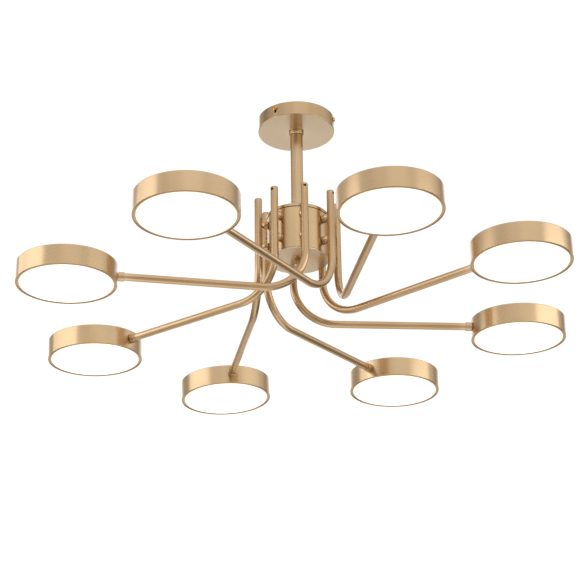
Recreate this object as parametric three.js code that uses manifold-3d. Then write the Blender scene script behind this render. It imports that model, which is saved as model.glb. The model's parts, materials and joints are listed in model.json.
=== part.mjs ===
// Multi arm LED chandelier. Bent tube arms stand round a drum hub, leave it along tangents, and each
// carries a flat round lamp head that turns on the end of its arm. The hub hangs on a short rod from
// a round ceiling canopy. Millimetres, +Z up, origin on the ceiling at the middle of the bracket.

import * as THREE from "three";
import { mergeVertices } from "three/addons/utils/BufferGeometryUtils.js";
import Module from "manifold-3d";

const wasm = await Module();
wasm.setup();

// ---- Driving dimensions ----

const GAP = 0.3; // clearance between pieces that touch

// The arms in degrees: place of the upright tube round +Z, climb of the straight part towards its head,
// and turn of the head about the arm. They are bent and clamped by hand, so no two are quite alike.
const ARMS = [
  { angle: -79.9, climb: 0.8, swivel: -1.4 },
  { angle: -34.6, climb: 1.6, swivel: 0.3 },
  { angle: 10.6, climb: 0.7, swivel: 1.0 },
  { angle: 53.0, climb: 1.6, swivel: 0.8 },
  { angle: 97.6, climb: 1.3, swivel: 2.2 },
  { angle: 144.2, climb: 1.5, swivel: 0.4 },
  { angle: 190.6, climb: 0.3, swivel: -2.5 },
  { angle: 235.3, climb: -0.6, swivel: -2.0 },
];
const ARM_CIRCLE_R = 62.5; // axis of the hub to axis of a tube
const TUBE_R = 6;
const TUBE_BORE_R = 4.8;
const TUBE_TOP_Z = -148.5; // top of the closed end
const TUBE_CAP_H = 2; // height over which the closed end rounds off
const BEND_BOTTOM_Z = -329.5; // lowest point of the tube's centre line
const BEND_R = 64.8;
const WALL_REACH = 218; // end of the bend to the wall of the head, along the arm
const VENT_R = 2.2; // hole near the top of each tube
const VENT_DROP = 5.6; // below the top of the tube

const HEAD_R = 75;
const HEAD_H = 31.5;
const HEAD_DROP = 1.5; // mid height of a head below the point where its arm meets it
const SHEET = 1.8; // wall of a head housing
const LIP_R = 69.7; // inner radius of the rim round the diffuser
const BOARD_R = 62;
const BOARD_T = 1.6;
const DIFFUSER_T = 2.2;
const SKIRT_H = 8;
const SKIRT_T = 2;

const FERRULE_R = 7.25;
const FERRULE_L = 9.5;
const SOCKET_L = 5; // how far the tube goes into the ferrule
const SPIGOT_R = 5;
const RETAINER_R = 8;
const RETAINER_T = 3;
const LEAD_HOLE_R = 2.5;

const CANOPY_R = 61;
const CANOPY_H = 23;
const CANOPY_WALL = 1.2;
const CANOPY_TOP_Z = -0.5;
const SIDE_SCREW_ANGLES = [-122, -12, 113]; // degrees round +Z, uneven so that the canopy goes on one way
const SIDE_SCREW_DROP = 7; // below the canopy's upper edge
const SIDE_SCREW_R = 1.9;
const SIDE_SCREW_HEAD_R = 3.8;
const SIDE_SCREW_HEAD_H = 2.6;
const SLOT_W = 4.4;
const SLOT_H = 10.5;

const BRACKET_R = 50;
const WIRE_WAY_R = 12; // hole in the bracket for the ceiling wires
const WIRE_WAY_Y = 25;
const CEILING_SCREW_R = 2.6;
const CEILING_SCREW_X = 38;
const BRACKET_T = 2;
const TAB_W = 14;
const TAB_H = 15;
const TAB_FACE_R = 58.7;

const ROD_R = 10;
const ROD_BORE_R = 8.4;
const ROD_PLUG_L = 14; // length of the thick, threaded ends
const COLLAR_R = 11.8;
const COLLAR_BORE_R = 5.4;
const COLLAR_H = 5;
const NIPPLE_R = 5; // the threaded tubes at both ends of the rod
const NIPPLE_BORE_R = 3.2;

const HUB_TOP_Z = -175;
const HUB_BOTTOM_Z = -251.8;
const HUB_CAP_R = 48.5;
const HUB_CAP_H = 5;
const HUB_SHELL_R = 47.6;
const HUB_SHELL_WALL = 1.5;
const HUB_PLATE_T = 2;
const HUB_SEAM = 0.6; // shadow gap between cap and shell

const STUD_TOP_Z = -194; // the upper standoffs
const STUD_SPACING = 37; // between the upper and the lower standoff of an arm
const STUD_R = 3.9;
const STUD_HOLE_R = 4.8;
const STANDOFF_R = 6.5;
const STANDOFF_INNER_X = 48.1;
const NUT_R = 7;
const NUT_T = 4;

const FINIAL_R = 6.9;
const FINIAL_NECK_R = 3.6;
const FINIAL_NECK_H = 1;
const FINIAL_STUD_R = 2.7;

const DRIVER_W = 36;
const DRIVER_D = 22;
const DRIVER_H = 40;
const DRIVER_Y = 8.5; // near face of each driver from the stem's axis
const DRIVER_PLATE_R = 38;
const DRIVER_PLATE_T = 1.5;

const WIRE_R = 1.1;
const LOOM_RING_R = 26;
const LOOM_BUNDLE_R = 2.2;
const CABLE_R = 2;

const ROUND_BIG = 32; // sides of the hub and the canopy
const ROUND_HEAD = 24;
const ROUND_SMALL = 10;
const ROUND_TUBE = 8;
const ROUND_WIRE = 5;

// ---- Materials ----

const metal = (color, roughness) => new THREE.MeshStandardMaterial({ color, roughness, metalness: 1 });
const plastic = (color, roughness) => new THREE.MeshStandardMaterial({ color, roughness, metalness: 0 });

const satinGold = metal(0xc8a272, 0.36);
const brass = metal(0xb9803a, 0.3);
const zincSteel = metal(0xa9abad, 0.45);
const blackSteel = metal(0x2e2c2a, 0.55);
const boardAluminium = metal(0xd4d6d8, 0.5);
const opalAcrylic = plastic(0xfffaf0, 0.35);
opalAcrylic.emissive = new THREE.Color(0xfff6e8);
const whitePlastic = plastic(0xe9e7e1, 0.55);
const wireSheath = plastic(0xd9d4c8, 0.6);

// ---- Shape helpers ----

const radians = THREE.MathUtils.degToRad;

// A closed three.js geometry as a manifold-3d solid.
function solidOf(geometry) {
  const bare = new THREE.BufferGeometry();
  bare.setAttribute("position", geometry.getAttribute("position"));
  bare.setIndex(geometry.index);
  const merged = mergeVertices(bare, 1e-3);
  return new wasm.Manifold(
    new wasm.Mesh({
      numProp: 3,
      vertProperties: merged.attributes.position.array,
      triVerts: new Uint32Array(merged.index.array),
    }),
  );
}

// A manifold-3d solid as a three.js geometry.
function geometryOf(solid) {
  const { numProp, numVert, vertProperties, triVerts } = solid.getMesh();
  const positions = new Float32Array(numVert * 3);
  for (let i = 0; i < numVert; i++) {
    positions.set(vertProperties.subarray(i * numProp, i * numProp + 3), i * 3);
  }
  const geometry = new THREE.BufferGeometry();
  geometry.setAttribute("position", new THREE.BufferAttribute(positions, 3));
  geometry.setIndex(new THREE.BufferAttribute(triVerts, 1));
  geometry.computeVertexNormals();
  return geometry;
}

const join = (...geometries) =>
  geometryOf(geometries.map(solidOf).reduce((whole, next) => whole.add(next)));

const cut = (geometry, ...tools) =>
  geometryOf(tools.map(solidOf).reduce((whole, tool) => whole.subtract(tool), solidOf(geometry)));

// Turns an outline of [radius, z] pairs round +Z. An outline that doesn't start on the axis is closed.
function turned(outline, sides) {
  const points = outline.map(([r, z]) => new THREE.Vector2(r, z));
  if (THREE.ShapeUtils.isClockWise(points)) points.reverse();
  if (points[0].x > 0 || points.at(-1).x > 0) points.push(points[0].clone());
  return new THREE.LatheGeometry(points, sides).rotateX(Math.PI / 2);
}

// A rod or a ring between two heights.
const disc = (radius, low, high, sides) =>
  new THREE.CylinderGeometry(radius, radius, high - low, sides)
    .rotateX(Math.PI / 2)
    .translate(0, 0, (low + high) / 2);

const ring = (outer, inner, low, high, sides) =>
  turned([[outer, low], [outer, high], [inner, high], [inner, low]], sides);

// A rod along +X between two distances.
const pegX = (radius, near, far, sides) =>
  disc(radius, near, far, sides).rotateY(Math.PI / 2);

const block = (lowX, highX, lowY, highY, lowZ, highZ) =>
  new THREE.BoxGeometry(highX - lowX, highY - lowY, highZ - lowZ).translate(
    (lowX + highX) / 2,
    (lowY + highY) / 2,
    (lowZ + highZ) / 2,
  );

// A route of straight legs and round bends. Each stop is one section of the swept tube.
class Route extends THREE.Curve {
  constructor(stops) {
    super();
    this.stops = stops;
  }

  getPoint(t, target = new THREE.Vector3()) {
    const place = THREE.MathUtils.clamp(t, 0, 1) * (this.stops.length - 1);
    const index = Math.min(Math.floor(place), this.stops.length - 2);
    return target.lerpVectors(this.stops[index], this.stops[index + 1], place - index);
  }

  // Sections sit on the stops, however far apart the stops are.
  getUtoTmapping(u) {
    return u;
  }

  getTangent(t, target = new THREE.Vector3()) {
    const index = Math.round(t * (this.stops.length - 1));
    const before = this.stops[Math.max(index - 1, 0)];
    const here = this.stops[index];
    const after = this.stops[Math.min(index + 1, this.stops.length - 1)];
    const arriving = here.clone().sub(before).normalize();
    const leaving = after.clone().sub(here).normalize();
    return target.addVectors(arriving, leaving).normalize();
  }
}

function swept(stops, radius, boreRadius, sides) {
  const circle = (path, r) => {
    for (let i = 0; i < sides; i++) {
      const angle = (i / sides) * 2 * Math.PI;
      const point = [r * Math.cos(angle), r * Math.sin(angle)];
      if (i === 0) path.moveTo(...point);
      else path.lineTo(...point);
    }
    path.closePath();
    return path;
  };
  const section = circle(new THREE.Shape(), radius);
  if (boreRadius > 0) section.holes.push(circle(new THREE.Path(), boreRadius));
  return new THREE.ExtrudeGeometry(section, {
    steps: stops.length - 1,
    extrudePath: new Route(stops),
  });
}

// Stops round a bend in the plane of two unit directions, from travelling along one to the other.
function bendStops(start, from, to, radius, degrees, steps) {
  const stops = [];
  for (let i = 1; i <= steps; i++) {
    const angle = radians((degrees * i) / steps);
    stops.push(
      start
        .clone()
        .addScaledVector(from, radius * Math.sin(angle))
        .addScaledVector(to, radius * (1 - Math.cos(angle))),
    );
  }
  return stops;
}

// ---- The scene graph ----

const chandelier = new THREE.Group();

function addPart(name, geometry, material, parent = chandelier) {
  const mesh = new THREE.Mesh(geometry, material);
  mesh.name = name;
  parent.add(mesh);
  return mesh;
}

// ---- Where an arm runs, in a frame turned so that its upright tube stands on +X ----

const DOWN = new THREE.Vector3(0, 0, -1);
const OUTWARD = new THREE.Vector3(0, -1, 0); // the way the arm leaves the hub
const bendStart = new THREE.Vector3(ARM_CIRCLE_R, 0, BEND_BOTTOM_Z + BEND_R);
const BEND_STEPS = 7;
const WALL_GAP = 0.6; // ferrule to the head's wall
const ferruleStart = WALL_REACH - WALL_GAP - FERRULE_L;
const tubeEnd = ferruleStart + SOCKET_L - GAP;

class ArmRoute {
  constructor({ angle, climb }) {
    this.turn = radians(angle);
    this.pitch = Math.PI / 2 - radians(climb); // from +Z to the arm, about +X
    this.direction = new THREE.Vector3(0, -Math.sin(this.pitch), Math.cos(this.pitch));
    this.bend = bendStops(bendStart, DOWN, OUTWARD, BEND_R, 90 + climb, BEND_STEPS);
  }

  // A point on the straight part, at a distance from the end of the bend.
  along(distance) {
    return this.bend.at(-1).clone().addScaledVector(this.direction, distance);
  }
}

const routes = ARMS.map((arm) => new ArmRoute(arm));

const studHeights = [STUD_TOP_Z, STUD_TOP_Z - STUD_SPACING];
const wireEntryZ = studHeights[0];

// ---- One arm: tube with a rounded end, two standoffs with their studs and nuts ----

function standoff(z, isHollow) {
  const tubeFace = ARM_CIRCLE_R - TUBE_R;
  const nutFar = HUB_SHELL_R - HUB_SHELL_WALL - 1;
  const studEnd = nutFar - NUT_T - 3;
  const shape = turned(
    [
      [0, studEnd],
      [STUD_R, studEnd],
      [STUD_R, STANDOFF_INNER_X],
      [STANDOFF_R, STANDOFF_INNER_X],
      [STANDOFF_R, tubeFace - 2.4],
      [STANDOFF_R - 2.4, tubeFace + 1],
      [0, tubeFace + 1],
    ],
    ROUND_TUBE,
  ).rotateY(Math.PI / 2);
  const nut = pegX(NUT_R, nutFar - NUT_T, nutFar, 6);
  const whole = join(shape, nut);
  const wireHole = pegX(WIRE_R + 0.8, studEnd - 1, ARM_CIRCLE_R, 6);
  return (isHollow ? cut(whole, wireHole) : whole).translate(0, 0, z);
}

function armGeometry(route) {
  const top = new THREE.Vector3(ARM_CIRCLE_R, 0, TUBE_TOP_Z - TUBE_CAP_H);
  const stops = [top, bendStart, ...route.bend, route.along(tubeEnd)];
  const tube = swept(stops, TUBE_R, TUBE_BORE_R, ROUND_TUBE);
  const cap = turned(
    [
      [0, -0.6],
      [TUBE_R - 0.01, -0.6],
      [TUBE_R - 0.01, 0],
      [TUBE_R - 0.6, TUBE_CAP_H - 0.6],
      [TUBE_R - TUBE_CAP_H, TUBE_CAP_H],
      [0, TUBE_CAP_H],
    ],
    ROUND_TUBE,
  ).translate(top.x, top.y, top.z);
  const [upper, lower] = studHeights;
  const body = join(tube, cap, standoff(upper, false), standoff(lower, false));
  const vent = pegX(VENT_R, ARM_CIRCLE_R, ARM_CIRCLE_R + 2 * TUBE_R, 8);
  const wireHole = pegX(WIRE_R + 0.8, 0, ARM_CIRCLE_R, 6);
  return cut(body, vent.translate(0, 0, TUBE_TOP_Z - VENT_DROP), wireHole.translate(0, 0, upper));
}

// ---- The swivel at the end of an arm, along +Z from the start of its ferrule ----

function swivelGeometry() {
  const wallIn = FERRULE_L + WALL_GAP + SHEET + 1;
  return turned(
    [
      [LEAD_HOLE_R, SOCKET_L],
      [TUBE_R + GAP, SOCKET_L],
      [TUBE_R + GAP, 0],
      [FERRULE_R, 0],
      [FERRULE_R, FERRULE_L],
      [SPIGOT_R, FERRULE_L],
      [SPIGOT_R, wallIn],
      [RETAINER_R, wallIn],
      [RETAINER_R, wallIn + RETAINER_T],
      [LEAD_HOLE_R, wallIn + RETAINER_T],
    ],
    ROUND_SMALL,
  );
}

// ---- One lamp head, about its own centre, with +Y towards its arm ----

function housingGeometry(route) {
  const top = HEAD_H / 2;
  const EDGE = 1.2; // bevel round the upper edge
  const shell = turned(
    [
      [0, top],
      [HEAD_R - EDGE, top],
      [HEAD_R, top - EDGE],
      [HEAD_R, -top],
      [LIP_R, -top],
      [LIP_R, SHEET - top],
      [HEAD_R - SHEET, SHEET - top],
      [HEAD_R - SHEET, top - SHEET],
      [0, top - SHEET],
    ],
    ROUND_HEAD,
  ).rotateZ(Math.PI / ROUND_HEAD);
  const spigotHole = disc(SPIGOT_R + 2 * GAP, -12, 12, ROUND_TUBE)
    .rotateX(route.pitch)
    .translate(0, HEAD_R, HEAD_DROP);
  return cut(shell, spigotHole);
}

function diffuserGeometry() {
  const low = -HEAD_H / 2;
  const outer = LIP_R - GAP;
  return turned(
    [
      [0, low],
      [outer, low],
      [outer, low + SKIRT_H],
      [outer - SKIRT_T, low + SKIRT_H],
      [outer - SKIRT_T, low + DIFFUSER_T],
      [0, low + DIFFUSER_T],
    ],
    ROUND_HEAD,
  ).rotateZ(Math.PI / ROUND_HEAD);
}

const boardTop = HEAD_H / 2 - SHEET - GAP;
const boardGeometry = disc(BOARD_R, boardTop - BOARD_T, boardTop, ROUND_HEAD);

ARMS.forEach((arm, i) => {
  const number = i + 1;
  const route = routes[i];
  const armFrame = new THREE.Group();
  armFrame.rotation.z = route.turn;
  chandelier.add(armFrame);
  addPart(`arm_${number}`, armGeometry(route), satinGold, armFrame);

  const swivel = addPart(`swivel_${number}`, swivelGeometry(), satinGold, armFrame);
  swivel.position.copy(route.along(ferruleStart));
  swivel.rotation.x = route.pitch;

  const pivot = new THREE.Group(); // on the arm's axis, in the wall of the head
  pivot.position.copy(route.along(WALL_REACH));
  pivot.quaternion.setFromAxisAngle(route.direction, radians(arm.swivel));
  armFrame.add(pivot);
  const head = new THREE.Group();
  head.position.set(0, -HEAD_R, -HEAD_DROP);
  pivot.add(head);
  addPart(`head_housing_${number}`, housingGeometry(route), satinGold, head);
  addPart(`led_board_${number}`, boardGeometry, boardAluminium, head);
  addPart(`diffuser_${number}`, diffuserGeometry(), opalAcrylic, head);
});

// ---- Ceiling bracket, canopy and its side screws ----

const screwZ = CANOPY_TOP_Z - SIDE_SCREW_DROP;
const screwAngles = SIDE_SCREW_ANGLES.map(radians);

function bracketGeometry() {
  const tabs = screwAngles.flatMap((angle) => [
    block(BRACKET_R - 4, TAB_FACE_R, -TAB_W / 2, TAB_W / 2, -BRACKET_T, 0).rotateZ(angle),
    block(TAB_FACE_R - BRACKET_T, TAB_FACE_R, -TAB_W / 2, TAB_W / 2, -TAB_H, -0.5).rotateZ(angle),
  ]);
  const plate = join(disc(BRACKET_R, -BRACKET_T, 0, ROUND_BIG), ...tabs);
  const wireWay = disc(WIRE_WAY_R, -5, 5, ROUND_SMALL).translate(0, WIRE_WAY_Y, 0);
  const ceilingHoles = [1, -1].map((side) =>
    disc(CEILING_SCREW_R, -5, 5, ROUND_TUBE).translate(side * CEILING_SCREW_X, WIRE_WAY_Y, 0),
  );
  const threads = screwAngles.map((angle) =>
    pegX(SIDE_SCREW_R + GAP, BRACKET_R, TAB_FACE_R + 2, 8).translate(0, 0, screwZ).rotateZ(angle),
  );
  return cut(plate, wireWay, ...ceilingHoles, ...threads);
}

function canopyGeometry() {
  const low = CANOPY_TOP_Z - CANOPY_H;
  const EDGE = 1;
  const cup = turned(
    [
      [COLLAR_BORE_R, low],
      [CANOPY_R - EDGE, low],
      [CANOPY_R, low + EDGE],
      [CANOPY_R, CANOPY_TOP_Z],
      [CANOPY_R - CANOPY_WALL, CANOPY_TOP_Z],
      [CANOPY_R - CANOPY_WALL, low + CANOPY_WALL],
      [COLLAR_BORE_R, low + CANOPY_WALL],
    ],
    ROUND_BIG,
  );
  const slotTop = screwZ + SLOT_W / 2;
  const slots = screwAngles.map((angle) =>
    block(CANOPY_R - 6, CANOPY_R + 6, -SLOT_W / 2, SLOT_W / 2, slotTop - SLOT_H, slotTop).rotateZ(angle),
  );
  return cut(cup, ...slots);
}

function sideScrewGeometry() {
  const seat = CANOPY_R + GAP;
  return turned(
    [
      [0, BRACKET_R + 2],
      [SIDE_SCREW_R, BRACKET_R + 2],
      [SIDE_SCREW_R, seat],
      [SIDE_SCREW_HEAD_R, seat],
      [SIDE_SCREW_HEAD_R, seat + SIDE_SCREW_HEAD_H * 0.4],
      [SIDE_SCREW_HEAD_R * 0.6, seat + SIDE_SCREW_HEAD_H],
      [0, seat + SIDE_SCREW_HEAD_H],
    ],
    ROUND_SMALL,
  )
    .rotateY(Math.PI / 2)
    .translate(0, 0, screwZ);
}

addPart("ceiling_bracket", bracketGeometry(), blackSteel);
addPart("canopy", canopyGeometry(), satinGold);
screwAngles.forEach((angle, i) => {
  addPart(`canopy_screw_${i + 1}`, sideScrewGeometry(), brass).rotation.z = angle;
});

// ---- Terminal block under the bracket ----

const TERMINAL_FACE_X = -29;
const terminalZ = -BRACKET_T - GAP;
const terminalBody = block(-45, TERMINAL_FACE_X, -14, 14, terminalZ - 9, terminalZ);
const wireMouths = [-9, 0, 9].map((y) =>
  pegX(2.4, TERMINAL_FACE_X - 8, TERMINAL_FACE_X + 2, 8).translate(0, y, terminalZ - 4.5),
);
addPart("terminal_block", cut(terminalBody, ...wireMouths), whitePlastic);

// ---- Rod with its collar and threaded ends ----

const canopyFloor = CANOPY_TOP_Z - CANOPY_H;
const collarTop = canopyFloor - GAP;
const rodTop = collarTop - COLLAR_H - GAP;
const rodBottom = HUB_TOP_Z + GAP;
const nippleTop = canopyFloor + CANOPY_WALL + 7;
const nippleBottom = rodTop - ROD_PLUG_L + 2;

addPart("rod_collar", ring(COLLAR_R, COLLAR_BORE_R, collarTop - COLLAR_H, collarTop, 20), satinGold);

addPart("rod_nipple", ring(NIPPLE_R, NIPPLE_BORE_R, nippleBottom, nippleTop, ROUND_SMALL), zincSteel);

const nutLow = canopyFloor + CANOPY_WALL + GAP;
const CANOPY_NUT_R = 9.5;
const canopyNut = cut(disc(CANOPY_NUT_R, nutLow, nutLow + 4, 6), disc(NIPPLE_R + GAP, -40, 0, ROUND_SMALL));
addPart("canopy_nut", canopyNut, zincSteel);

const threadR = NIPPLE_R + GAP;
const downRod = turned(
  [
    [threadR, rodBottom],
    [ROD_R, rodBottom],
    [ROD_R, rodTop],
    [threadR, rodTop],
    [threadR, rodTop - ROD_PLUG_L],
    [ROD_BORE_R, rodTop - ROD_PLUG_L],
    [ROD_BORE_R, rodBottom + ROD_PLUG_L],
    [threadR, rodBottom + ROD_PLUG_L],
  ],
  20,
);
addPart("down_rod", downRod, satinGold);

// ---- Hub: cap, shell, bottom plate, and the stem that holds them together ----

const capLow = HUB_TOP_Z - HUB_CAP_H;
const shellTop = capLow - HUB_SEAM;
const plateTop = HUB_BOTTOM_Z + HUB_PLATE_T;
const shellBottom = plateTop + GAP;
const shellInner = HUB_SHELL_R - HUB_SHELL_WALL;
const spigotR = shellInner - 0.6; // locating step of the cap and the plate inside the shell
const SPIGOT_DEPTH = 3;

const hubCap = turned(
  [
    [threadR, HUB_TOP_Z],
    [HUB_CAP_R, HUB_TOP_Z],
    [HUB_CAP_R, capLow],
    [spigotR, capLow],
    [spigotR, capLow - SPIGOT_DEPTH],
    [spigotR - 2, capLow - SPIGOT_DEPTH],
    [spigotR - 2, HUB_TOP_Z - 2],
    [threadR, HUB_TOP_Z - 2],
  ],
  ROUND_BIG,
);
addPart("hub_cap", hubCap, satinGold);

function hubShellGeometry() {
  const tube = ring(HUB_SHELL_R, shellInner, shellBottom, shellTop, ROUND_BIG);
  const holes = [];
  for (const { turn } of routes) {
    for (const z of studHeights) {
      holes.push(pegX(STUD_HOLE_R, shellInner - 3, HUB_SHELL_R + 3, 6).translate(0, 0, z).rotateZ(turn));
    }
  }
  return cut(tube, ...holes);
}
addPart("hub_shell", hubShellGeometry(), satinGold);

const finialHoleR = FINIAL_STUD_R + GAP;
const hubPlate = turned(
  [
    [finialHoleR, HUB_BOTTOM_Z],
    [HUB_SHELL_R, HUB_BOTTOM_Z],
    [HUB_SHELL_R, plateTop],
    [spigotR, plateTop],
    [spigotR, plateTop + SPIGOT_DEPTH],
    [spigotR - 2, plateTop + SPIGOT_DEPTH],
    [spigotR - 2, plateTop],
    [finialHoleR, plateTop],
  ],
  ROUND_BIG,
);
addPart("hub_bottom_plate", hubPlate, satinGold);

const stemTop = rodBottom + ROD_PLUG_L - 2;
const stemBottom = plateTop + GAP;
const flangeTop = HUB_TOP_Z - 2 - GAP;
const FLANGE_T = 3;
const CABLE_EXIT_Z = -190;
const stemOutline = turned(
  [
    [NIPPLE_BORE_R, stemTop],
    [NIPPLE_R, stemTop],
    [NIPPLE_R, flangeTop],
    [10, flangeTop],
    [10, flangeTop - FLANGE_T],
    [NIPPLE_R, flangeTop - FLANGE_T],
    [NIPPLE_R, stemBottom],
    [NIPPLE_BORE_R, stemBottom],
  ],
  ROUND_SMALL,
);
const cableExit = pegX(CABLE_R + 0.7, 0, 12, 8).rotateZ(Math.PI / 2).translate(0, 0, CABLE_EXIT_Z);
addPart("hub_stem", cut(stemOutline, cableExit), zincSteel);

const ballCentre = HUB_BOTTOM_Z - GAP - FINIAL_NECK_H - FINIAL_R + 0.8;
const finialOutline = [
  [0, stemBottom + 9],
  [FINIAL_STUD_R, stemBottom + 9],
  [FINIAL_STUD_R, HUB_BOTTOM_Z - GAP],
  [FINIAL_NECK_R + 1.6, HUB_BOTTOM_Z - GAP],
  [FINIAL_NECK_R + 1.6, HUB_BOTTOM_Z - GAP - 0.8],
  [FINIAL_NECK_R, HUB_BOTTOM_Z - GAP - 0.8],
];
for (const degrees of [58, 35, 10, -15, -40, -65]) {
  const angle = radians(degrees);
  finialOutline.push([FINIAL_R * Math.cos(angle), ballCentre + FINIAL_R * Math.sin(angle)]);
}
finialOutline.push([0, ballCentre - FINIAL_R]);
addPart("finial", turned(finialOutline, ROUND_SMALL), satinGold);

// ---- Drivers on their plate inside the hub ----

const platformLow = plateTop + SPIGOT_DEPTH + 2;
const platformHigh = platformLow + DRIVER_PLATE_T;
const driverPlate = ring(DRIVER_PLATE_R, threadR, platformLow, platformHigh, 24);
addPart("driver_plate", driverPlate, zincSteel);

const driverLow = platformHigh + GAP;
const driverTop = driverLow + DRIVER_H;
[0, Math.PI].forEach((angle, i) => {
  const DRIVER_EDGE = 2;
  const outline = new THREE.Shape();
  const halfW = DRIVER_W / 2;
  outline.moveTo(-halfW, DRIVER_Y);
  outline.lineTo(halfW, DRIVER_Y);
  outline.lineTo(halfW, DRIVER_Y + DRIVER_D - DRIVER_EDGE);
  outline.lineTo(halfW - DRIVER_EDGE, DRIVER_Y + DRIVER_D);
  outline.lineTo(DRIVER_EDGE - halfW, DRIVER_Y + DRIVER_D);
  outline.lineTo(-halfW, DRIVER_Y + DRIVER_D - DRIVER_EDGE);
  const box = new THREE.ExtrudeGeometry(outline, { depth: DRIVER_H, bevelEnabled: false });
  addPart(`led_driver_${i + 1}`, box.translate(0, 0, driverLow).rotateZ(angle), whitePlastic);
});

// ---- Supply cable: terminal block, nipple, rod, stem, first driver ----

const CORNER_R = 4;
const CORNER_STEPS = 2;
const EAST = new THREE.Vector3(1, 0, 0);
const NORTH = new THREE.Vector3(0, 1, 0);
const cableTopZ = terminalZ - 4.5;
const cableStart = new THREE.Vector3(TERMINAL_FACE_X + GAP, 0, cableTopZ);
const cableCorners = [
  new THREE.Vector3(-CORNER_R, 0, cableTopZ),
  new THREE.Vector3(0, 0, CABLE_EXIT_Z + CORNER_R),
  new THREE.Vector3(0, 17 - CORNER_R, CABLE_EXIT_Z),
];
const cableStops = [
  cableStart,
  cableCorners[0],
  ...bendStops(cableCorners[0], EAST, DOWN, CORNER_R, 90, CORNER_STEPS),
  cableCorners[1],
  ...bendStops(cableCorners[1], DOWN, NORTH, CORNER_R, 90, CORNER_STEPS),
  cableCorners[2],
  ...bendStops(cableCorners[2], NORTH, DOWN, CORNER_R, 90, CORNER_STEPS),
  new THREE.Vector3(0, 17, driverTop + GAP),
];
addPart("supply_cable", swept(cableStops, CABLE_R, 0, 8), wireSheath);

// ---- Wiring loom: a ring in the hub, a lead into every arm, and one from each driver ----

function loomGeometry() {
  const pieces = [
    ring(LOOM_RING_R + LOOM_BUNDLE_R, LOOM_RING_R - LOOM_BUNDLE_R, wireEntryZ - 2, wireEntryZ + 2, 24),
  ];
  for (const side of [1, -1]) {
    const lead = disc(CABLE_R, driverTop + GAP, wireEntryZ, 6);
    pieces.push(lead.translate(0, side * LOOM_RING_R, 0));
  }
  const turnStart = new THREE.Vector3(ARM_CIRCLE_R - CORNER_R, 0, wireEntryZ);
  const intoTube = [
    new THREE.Vector3(LOOM_RING_R, 0, wireEntryZ),
    turnStart,
    ...bendStops(turnStart, EAST, DOWN, CORNER_R, 90, CORNER_STEPS),
    bendStart,
  ];
  for (const route of routes) {
    const stops = [...intoTube, ...route.bend, route.along(tubeEnd - 2)];
    pieces.push(swept(stops, WIRE_R, 0, ROUND_WIRE).rotateZ(route.turn));
  }
  return join(...pieces);
}
addPart("wiring_loom", loomGeometry(), wireSheath);

export default chandelier;
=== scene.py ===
import json
import math

import bmesh
import bpy
from mathutils import Matrix, Vector


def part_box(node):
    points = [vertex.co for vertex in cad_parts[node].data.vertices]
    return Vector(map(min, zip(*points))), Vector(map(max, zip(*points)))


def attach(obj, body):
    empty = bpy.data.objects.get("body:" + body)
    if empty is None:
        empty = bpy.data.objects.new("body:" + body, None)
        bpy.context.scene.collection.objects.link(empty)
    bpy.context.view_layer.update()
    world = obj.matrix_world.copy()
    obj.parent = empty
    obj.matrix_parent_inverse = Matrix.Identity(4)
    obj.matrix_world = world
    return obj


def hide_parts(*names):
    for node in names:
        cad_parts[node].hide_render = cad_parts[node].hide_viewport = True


# Multi arm chandelier: its visual model, studio and camera. Metres, +Z up, origin on the ceiling.

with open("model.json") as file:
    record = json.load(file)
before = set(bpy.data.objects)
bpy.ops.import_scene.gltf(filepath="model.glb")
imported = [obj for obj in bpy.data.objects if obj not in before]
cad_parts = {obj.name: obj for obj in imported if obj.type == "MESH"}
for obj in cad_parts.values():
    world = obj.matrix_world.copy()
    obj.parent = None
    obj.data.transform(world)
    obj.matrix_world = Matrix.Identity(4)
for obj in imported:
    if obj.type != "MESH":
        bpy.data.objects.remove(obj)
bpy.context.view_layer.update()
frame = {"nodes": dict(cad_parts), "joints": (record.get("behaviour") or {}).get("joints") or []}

# ---- Driving dimensions, the same as the CAD part's where it has them ----

# Arms, with their ferrules
ARM_COUNT = 8
HEAD_TURNS = [-1.4, 0.3, 1.0, 0.8, 2.2, 0.4, -2.5, -2.0]  # degrees about each arm, fitted numerically
ARM_CIRCLE_R = 0.0625
TUBE_R = 0.006
TUBE_BORE_R = 0.0048
BEND_R = 0.0648
WALL_REACH = 0.218
VENT_R = 0.0022
VENT_DROP = 0.0056
TUBE_EDGE_R = 0.0018
WALL_GAP = 0.0006
FERRULE_R = 0.00725
FERRULE_L = 0.0095
SOCKET_L = 0.005
SPIGOT_R = 0.005
RETAINER_R = 0.008
RETAINER_T = 0.003
LEAD_HOLE_R = 0.0025
SOCKET_SLACK = 0.00015
NUT_PLAY = 0.001  # from a nut to the wall that it holds
GAP = 0.0003

# Lamp heads
HEAD_R = 0.075
HEAD_H = 0.0315
HEAD_DROP = 0.0015
SHEET = 0.0018
LIP_R = 0.0697
LIP_H = 0.0045
LIP_SINK = 0.0002
RIM_T = 0.0009
GROOVE_W = 0.0018
GROOVE_DEPTH = 0.0012
SKIRT_H = 0.008
SKIRT_T = 0.002
DIFFUSER_T = 0.0022
RIM_GLOW_W = 0.009  # the ring in which the light of a diffuser falls off

# Canopy and its side screws
CANOPY_R = 0.061
CANOPY_WALL = 0.0012
BRACKET_R = 0.050
SCREW_DROP = 0.007
SCREW_R = 0.0019
SCREW_HEAD_R = 0.0038
SCREW_HEAD_H = 0.0026
SLOT_W = 0.0044
SLOT_H = 0.0105
SLOT_REACH = 0.006  # of the slot's cutter, either way from the canopy's outside
SCREW_TIP = 0.002  # from the bracket's edge
SCREWDRIVER_SLOT = (0.0016, 0.0009, 0.01)

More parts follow.
